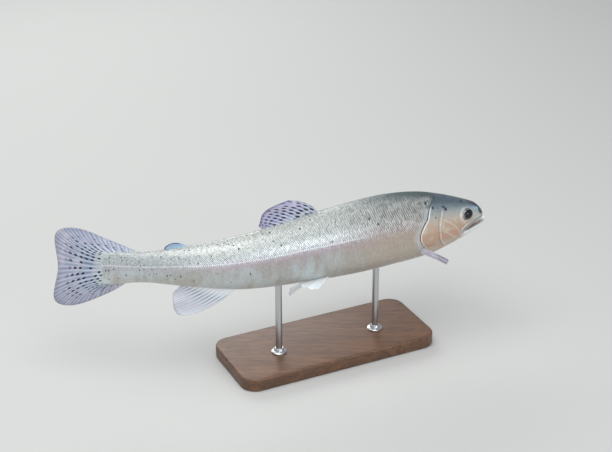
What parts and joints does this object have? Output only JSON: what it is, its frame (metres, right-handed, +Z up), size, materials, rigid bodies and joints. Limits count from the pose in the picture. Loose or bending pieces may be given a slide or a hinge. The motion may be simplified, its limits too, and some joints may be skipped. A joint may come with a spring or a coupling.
{
  "type": "rainbow trout model",
  "caption": "Life-size rainbow trout swimming in a gentle turn with its mouth slightly open, held by rods over a plain rectangular display base.",
  "frame": {"origin": "middle of the underside of the display base, on the surface that it stands on", "axes": "+Z up, +X towards the fish's head along the length of the whole model, -Y towards its right side"},
  "size_m": [0.3799, 0.1491, 0.1519],
  "materials": {
    "skin": "silvery painted skin with small scales, grey-green back, rose band and pale belly",
    "fin": "translucent grey-lilac rays, spotted dark on the back and tail fins",
    "eye": "clear, wet gloss over a silvery iris and black pupil",
    "stand_base": "satin",
    "stand_rod": "satin"
  },
  "bodies": {
    "root": {"head": "skin", "jaw_lower": "skin", "gill_cover_left": "skin", "gill_cover_right": "skin", "lip_bone_left": "skin", "lip_bone_right": "skin", "trunk_front": "skin", "trunk_rear": "skin", "tail_stem": "skin", "eye_left": "eye", "eye_right": "eye", "fin_dorsal": "fin", "fin_adipose": "fin", "fin_anal": "fin", "fin_tail": "fin", "fin_pectoral_left": "fin", "fin_pectoral_right": "fin", "fin_pelvic_left": "fin", "fin_pelvic_right": "fin", "stand_base": "stand_base", "stand_rod_front": "stand_rod", "stand_rod_rear": "stand_rod"}
  },
  "joints": []
}
